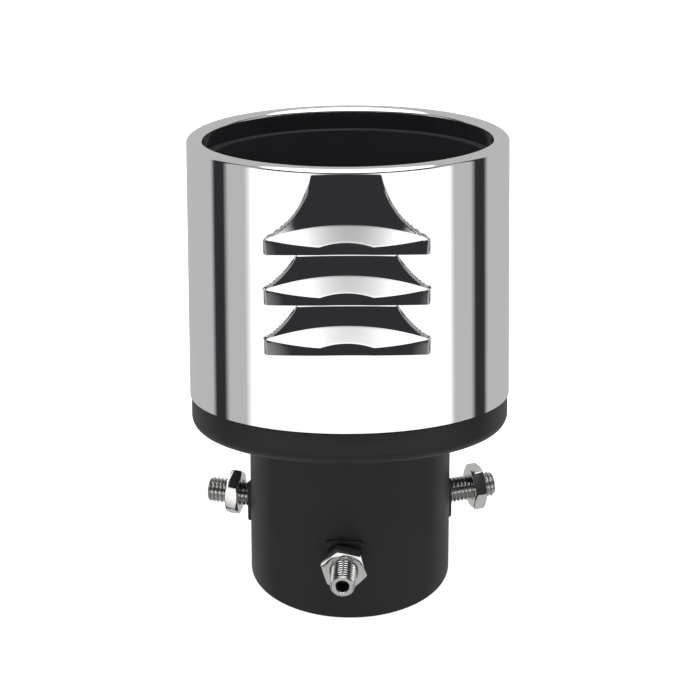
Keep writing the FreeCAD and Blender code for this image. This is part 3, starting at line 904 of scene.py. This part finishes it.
class TIP_OT_screw_pads(bpy.types.Operator):
    """Pads on the neck: a plate with rounded corners and eased edges, its underside cut to the
    neck, drilled
    """
    bl_idname = "tip.screw_pads"
    bl_label = "Screw pads"

    def execute(self, context):
        sizes = settings("tip_sizes")
        for side in SIDES:
            out = outward(side)
            face = span_along(f"screw_pad_{side}", out)[1]
            low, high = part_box(f"screw_pad_{side}")
            across = Vector((-out.y, out.x, 0))
            ends = span_along(f"screw_pad_{side}", across)
            wide, tall = ends[1] - ends[0], high.z - low.z
            bpy.ops.object.select_all(action="DESELECT")
            bpy.ops.mesh.primitive_cube_add(size=1, location=(0, 0, face - 2 * MM),
                                            scale=(wide, tall, 4 * MM))
            pad = bpy.context.active_object
            pad.name = pad.data.name = f"screw_pad_{side}_plate"
            settle(pad)
            with editing(pad):
                select_only(pad, "edges", lambda edge: abs(
                    edge.verts[0].co.z - edge.verts[1].co.z) > MM)
                bpy.ops.mesh.bevel(offset=1.6 * MM, segments=8, affect="EDGES")
            round_edges(pad, 0.45 * MM, 60, 3)
            carve(pad, cylinder(sizes.neck_radius - 0.05 * MM, 40 * MM, vertices=180,
                                rotation=(math.pi / 2, 0, 0)))
            carve(pad, cylinder(bore_radius(), 90 * MM))
            shade(pad)
            aim_outwards(pad, side, 0)
            hand_over(pad, "tip", f"screw_pad_{side}", "black_paint")
        return {"FINISHED"}


def threaded_shank(name):
    """Screw blank turned along +Z, its thread and end chamfers cut by moving its rings."""
    fasteners = settings("fastener_sizes")
    crest, end, pitch = fasteners.screw_radius, fasteners.screw_length, fasteners.thread_pitch
    crest_share, flank_share = 0.12, 0.76
    rings = spread(0, end, pitch / 12) + [end]
    shank = lathe(name, [(0, 0), *((crest, height) for height in rings), (0, end)], steps=48)
    for vertex in shank.data.vertices:
        point = vertex.co
        if point.xy.length < crest / 2:
            continue
        turn = math.atan2(point.y, point.x)
        phase = (point.z / pitch - turn / (2 * math.pi)) % 1
        groove = min(1.0, max(0.0, (2 * abs(phase - 0.5) - crest_share) / flank_share))
        chamfered = crest - fasteners.screw_chamfer + min(point.z, end - point.z)
        radius = min(crest - fasteners.thread_depth * groove, chamfered)
        point.x, point.y = radius * math.cos(turn), radius * math.sin(turn)
    return shank


def store_painted_recess_shade(screw):
    """Store how deep each vertex lies in the thread or the socket, as the mask of painted shade
    that darkens the finish there.
    """
    fasteners = settings("fastener_sizes")
    floor = fasteners.screw_length - fasteners.socket_depth
    groove = screw.data.attributes.new("groove", "FLOAT", "POINT")
    for index, vertex in enumerate(screw.data.vertices):
        radius, height = vertex.co.xy.length, vertex.co.z
        deep = (fasteners.screw_radius - radius) / fasteners.thread_depth
        in_socket = radius < fasteners.socket_flats * 0.62 and height > floor - MM
        down = (fasteners.screw_length - height) / (fasteners.screw_length - floor)
        in_thread = 0 < deep < 1.1
        # painted shade: full in the socket, up to 0.55 in the thread's roots
        groove.data[index].value = (min(1.0, 12 * max(0.0, down)) if in_socket
                                    else 0.55 * min(1.0, deep) if in_thread else 0.0)


class TIP_OT_set_screws(bpy.types.Operator):
    """Set screws: a cut thread, chamfered at both ends, with a hexagon socket"""
    bl_idname = "tip.set_screws"
    bl_label = "Set screws"

    def execute(self, context):
        fasteners = settings("fastener_sizes")
        end = fasteners.screw_length
        pattern = threaded_shank("set_screw_pattern")
        corner = fasteners.socket_flats / math.sqrt(3)
        mouth = lathe("socket_mouth", [(0, end - 0.3 * MM), (corner - 0.3 * MM, end - 0.3 * MM),
                                       (corner + 0.1 * MM, end + 0.1 * MM), (0, end + 0.1 * MM)],
                      steps=48)
        carve(pattern, mouth)
        socket = cylinder(corner, 2 * fasteners.socket_depth, vertices=6, location=(0, 0, end))
        settle(socket)
        with editing(socket):
            select_only(socket, "faces", lambda face: face.normal.z < -0.9)
            bpy.ops.mesh.extrude_region_move(
                TRANSFORM_OT_translate={"value": (0, 0, -0.8 * MM)})
            bpy.ops.mesh.merge(type="CENTER")
        tidy(socket)
        carve(pattern, socket)
        # painted shade for the thread's roots and the socket
        store_painted_recess_shade(pattern)
        shade(pattern, 32)
        for side in SIDES:
            screw = copy_of(pattern, f"set_screw_{side}_threaded")
            far = span_along(f"set_screw_{side}", outward(side))[1]
            aim_outwards(screw, side, far - end)
            hand_over(screw, f"screw_{side}", f"set_screw_{side}", "zinc_steel")
        bpy.data.objects.remove(pattern)
        return {"FINISHED"}


# how far each nut happens to be turned, in degrees
NUT_TURNS = {"front": 16.3, "right": 22.0, "left": 10.0}


class TIP_OT_lock_nuts(bpy.types.Operator):
    """Lock nuts: a hexagon blank, turned off at both faces, with a countersunk bore"""
    bl_idname = "tip.lock_nuts"
    bl_label = "Lock nuts"

    def execute(self, context):
        fasteners = settings("fastener_sizes")
        half, flats = fasteners.nut_thickness / 2, fasteners.nut_flats
        corner, face = flats / math.sqrt(3), flats / 2 - 0.25 * MM
        pattern = cylinder(corner, 2 * half, vertices=6)
        pattern.name = pattern.data.name = "lock_nut_pattern"
        wide, slope = corner + 0.6 * MM, 0.75 * MM
        turned = lathe("turned_blank", [
            (0, -half - 0.1 * MM), (face - 0.2 * MM, -half - 0.1 * MM), (wide, -half + slope),
            (wide, half - slope), (face - 0.2 * MM, half + 0.1 * MM), (0, half + 0.1 * MM)],
            steps=120)
        carve(pattern, turned, "INTERSECT")
        bore, sink = bore_radius(), 0.45 * MM
        drill = lathe("nut_drill", [
            (0, -half - MM), (bore + sink + MM, -half - MM), (bore, -half + sink),
            (bore, half - sink), (bore + sink + MM, half + MM), (0, half + MM)], steps=96)
        carve(pattern, drill)
        round_edges(pattern, 0.12 * MM, 24, 2)
        shade(pattern, 30)
        for side in SIDES:
            nut = copy_of(pattern, f"lock_nut_{side}_hexagon")
            near, far = span_along(f"lock_nut_{side}", outward(side))
            aim_outwards(nut, side, (near + far) / 2, math.radians(NUT_TURNS[side]))
            hand_over(nut, f"nut_{side}", f"lock_nut_{side}", "zinc_steel")
        bpy.data.objects.remove(pattern)
        return {"FINISHED"}


# ------------ stage

def within(tree, value, low, high, soft):
    """Mask that is 1 between two angles and fades over a soft edge centred on each."""
    rise = remap(tree, value, low - soft / 2, low + soft / 2, 0.0, 1.0)
    fall = remap(tree, value, high - soft / 2, high + soft / 2, 1.0, 0.0)
    return arithmetic(tree, "MULTIPLY", rise, fall)


def studio_surroundings(world):
    """Pale tent with a white front panel between dark gaps, side flags and a softbox overhead.

    The left and right halves are alike.
    """
    stage = settings("stage_settings")
    world.use_nodes = True
    tree = world.node_tree
    direction = tree.nodes.new("ShaderNodeTexCoord").outputs["Generated"]
    parts = place_node(tree, "ShaderNodeSeparateXYZ", Vector=direction).outputs
    front = arithmetic(tree, "MULTIPLY", parts["Y"], -1.0)
    turned = arithmetic(tree, "ABSOLUTE", arithmetic(tree, "ARCTAN2", parts["X"], front))
    raised = arithmetic(tree, "ARCSINE", parts["Z"])
    soft = stage.soft_edge
    before = within(tree, turned, -1.0, stage.panel_half, soft)
    panel = within(tree, raised, stage.panel_foot, stage.panel_top, soft)
    dark = within(tree, raised, stage.dark_foot, stage.dark_top, soft)
    flag = within(tree, turned, stage.flag_near, stage.flag_far, soft)
    level = within(tree, raised, -stage.dark_top, stage.dark_top, soft)
    overhead = remap(tree, raised, stage.softbox_foot - soft / 2, stage.softbox_foot + soft / 2,
                     0.0, 1.0)
    camera = tree.nodes.new("ShaderNodeLightPath").outputs["Is Camera Ray"]
    seen = stage.tent
    for mask, light in ((arithmetic(tree, "MULTIPLY", flag, level), stage.flag),
                        (arithmetic(tree, "MULTIPLY", before, dark), stage.flag),
                        (arithmetic(tree, "MULTIPLY", before, panel), [stage.panel_strength] * 3),
                        (overhead, [stage.softbox_strength] * 3),
                        (camera, (1, 1, 1))):
        seen = mix_colours(tree, mask, seen, light)
    feed(tree, next(n for n in tree.nodes if n.type == "BACKGROUND"), Color=seen)


def floor_finish():
    """Pale matt floor, faintly uneven, that keeps only a light shadow."""
    material, tree, shader, place = new_material("studio_floor")
    base = settings("stage_settings").floor
    feed(tree, shader, Roughness=0.9, Emission_Color=(1, 1, 1, 1), Emission_Strength=0.8,
         Base_Color=mix_colours(tree, noise(tree, place, 6.0), base, scaled(base, 0.985)))
    return material


class TIP_OT_stage(bpy.types.Operator):
    """Floor, studio surroundings and camera"""
    bl_idname = "tip.stage"
    bl_label = "Stage"

    def execute(self, context):
        stage = settings("stage_settings")
        bpy.ops.object.select_all(action="DESELECT")
        bpy.ops.mesh.primitive_plane_add(size=30, location=(0, 0, CAD_BOX[0].z))
        floor = bpy.context.active_object
        floor.name = "studio_floor"
        floor.data.materials.append(floor_finish())
        floor.visible_glossy = False
        world = bpy.data.worlds.new("studio")
        context.scene.world = world
        studio_surroundings(world)
        aim = Vector((0, 0, stage.aim_height))
        level = Vector((math.sin(stage.turn), math.cos(stage.turn), 0))
        looking = level * math.cos(stage.pitch) - Vector((0, 0, math.sin(stage.pitch)))
        bpy.ops.object.camera_add(location=aim - looking * stage.distance)
        camera = context.active_object
        camera.rotation_mode = "QUATERNION"
        camera.rotation_quaternion = looking.to_track_quat("-Z", "Y")
        camera.data.lens = stage.lens
        camera.data.sensor_width = 36
        camera.data.clip_end = 100
        context.scene.camera = camera
        context.scene.view_settings.view_transform = "Standard"
        return {"FINISHED"}


# ------------ panel and registration

class TIP_PT_panel(bpy.types.Panel):
    """Lists the pieces of the tailpipe tip"""
    bl_label = "Tailpipe Tip"
    bl_idname = "TIP_PT_panel"
    bl_space_type = "VIEW_3D"
    bl_region_type = "UI"
    bl_category = "Tailpipe Tip"

    def draw(self, context):
        for step in STEPS:
            self.layout.operator(step.bl_idname, text=step.bl_label)


GROUPS = {"tip_sizes": TipSizes, "louvre_sizes": LouvreSizes, "fastener_sizes": FastenerSizes,
          "finish_colours": FinishColours, "stage_settings": StageSettings}
STEPS = [TIP_OT_stage, TIP_OT_outer_sleeve, TIP_OT_rear_cap, TIP_OT_inlet_neck, TIP_OT_neck_weld,
         TIP_OT_inner_liner, TIP_OT_screw_pads, TIP_OT_set_screws, TIP_OT_lock_nuts]


def register():
    for kind in [*GROUPS.values(), *STEPS, TIP_PT_panel]:
        bpy.utils.register_class(kind)
    for name, kind in GROUPS.items():
        setattr(bpy.types.Scene, name, bpy.props.PointerProperty(type=kind))


def unregister():
    for name in GROUPS:
        delattr(bpy.types.Scene, name)
    for kind in reversed([*GROUPS.values(), *STEPS, TIP_PT_panel]):
        bpy.utils.unregister_class(kind)


def main():
    register()
    for step in STEPS:
        group, name = step.bl_idname.split(".")
        getattr(getattr(bpy.ops, group), name)()


if __name__ == "__main__":
    main()
